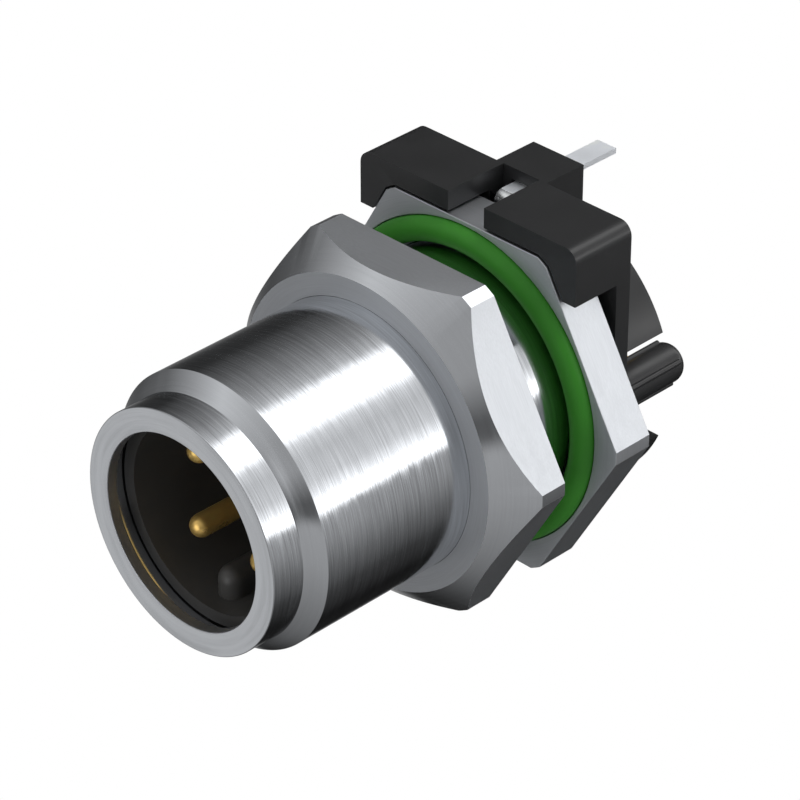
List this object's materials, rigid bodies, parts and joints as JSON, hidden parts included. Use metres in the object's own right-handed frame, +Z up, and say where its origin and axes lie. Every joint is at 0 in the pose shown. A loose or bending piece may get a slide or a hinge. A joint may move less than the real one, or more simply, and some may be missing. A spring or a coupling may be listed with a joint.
{
  "type": "m12 panel connector",
  "caption": "Straight male circular panel connector with a hexagon flange, lock nut, panel seal, keyed insert and a moulded carrier for a circuit board.",
  "frame": {"origin": "on the connector's axis, in the front face of the hexagon flange, which seats on the panel", "axes": "+Y along the axis from the mating face towards the board, so the mating face looks along -Y; +Z up, towards the shield lug and away from the coding key; +X to the right seen from the mating side"},
  "size_m": [0.017, 0.0243, 0.016],
  "materials": {
    "nickel_plated_metal": "turned, nickel plated",
    "nickel_plated_nut": "milled, nickel plated",
    "green_seal": "smooth moulded",
    "black_insert": "moulded",
    "black_seal": "smooth moulded",
    "black_carrier": "fine moulded",
    "tinned_strip": "tinned, satin",
    "gilt_contact": "gilt"
  },
  "bodies": {
    "connector": {"housing": "nickel_plated_metal", "flange_o_ring": "green_seal", "contact_insert": "black_insert", "insert_seal": "black_seal", "contact_retainer": "black_insert", "board_carrier": "black_carrier", "shield_lug": "tinned_strip", "contact_pin_1": "gilt_contact", "contact_pin_2": "gilt_contact", "contact_pin_3": "gilt_contact", "contact_pin_4": "gilt_contact"},
    "lock_nut": {"hex_nut": "nickel_plated_nut"}
  },
  "joints": [
    {"name": "nut_travel", "type": "slide", "parent": "connector", "child": "lock_nut", "axis": [0, 1, 0], "range_m": [-0.01, 0.0023]}
  ]
}
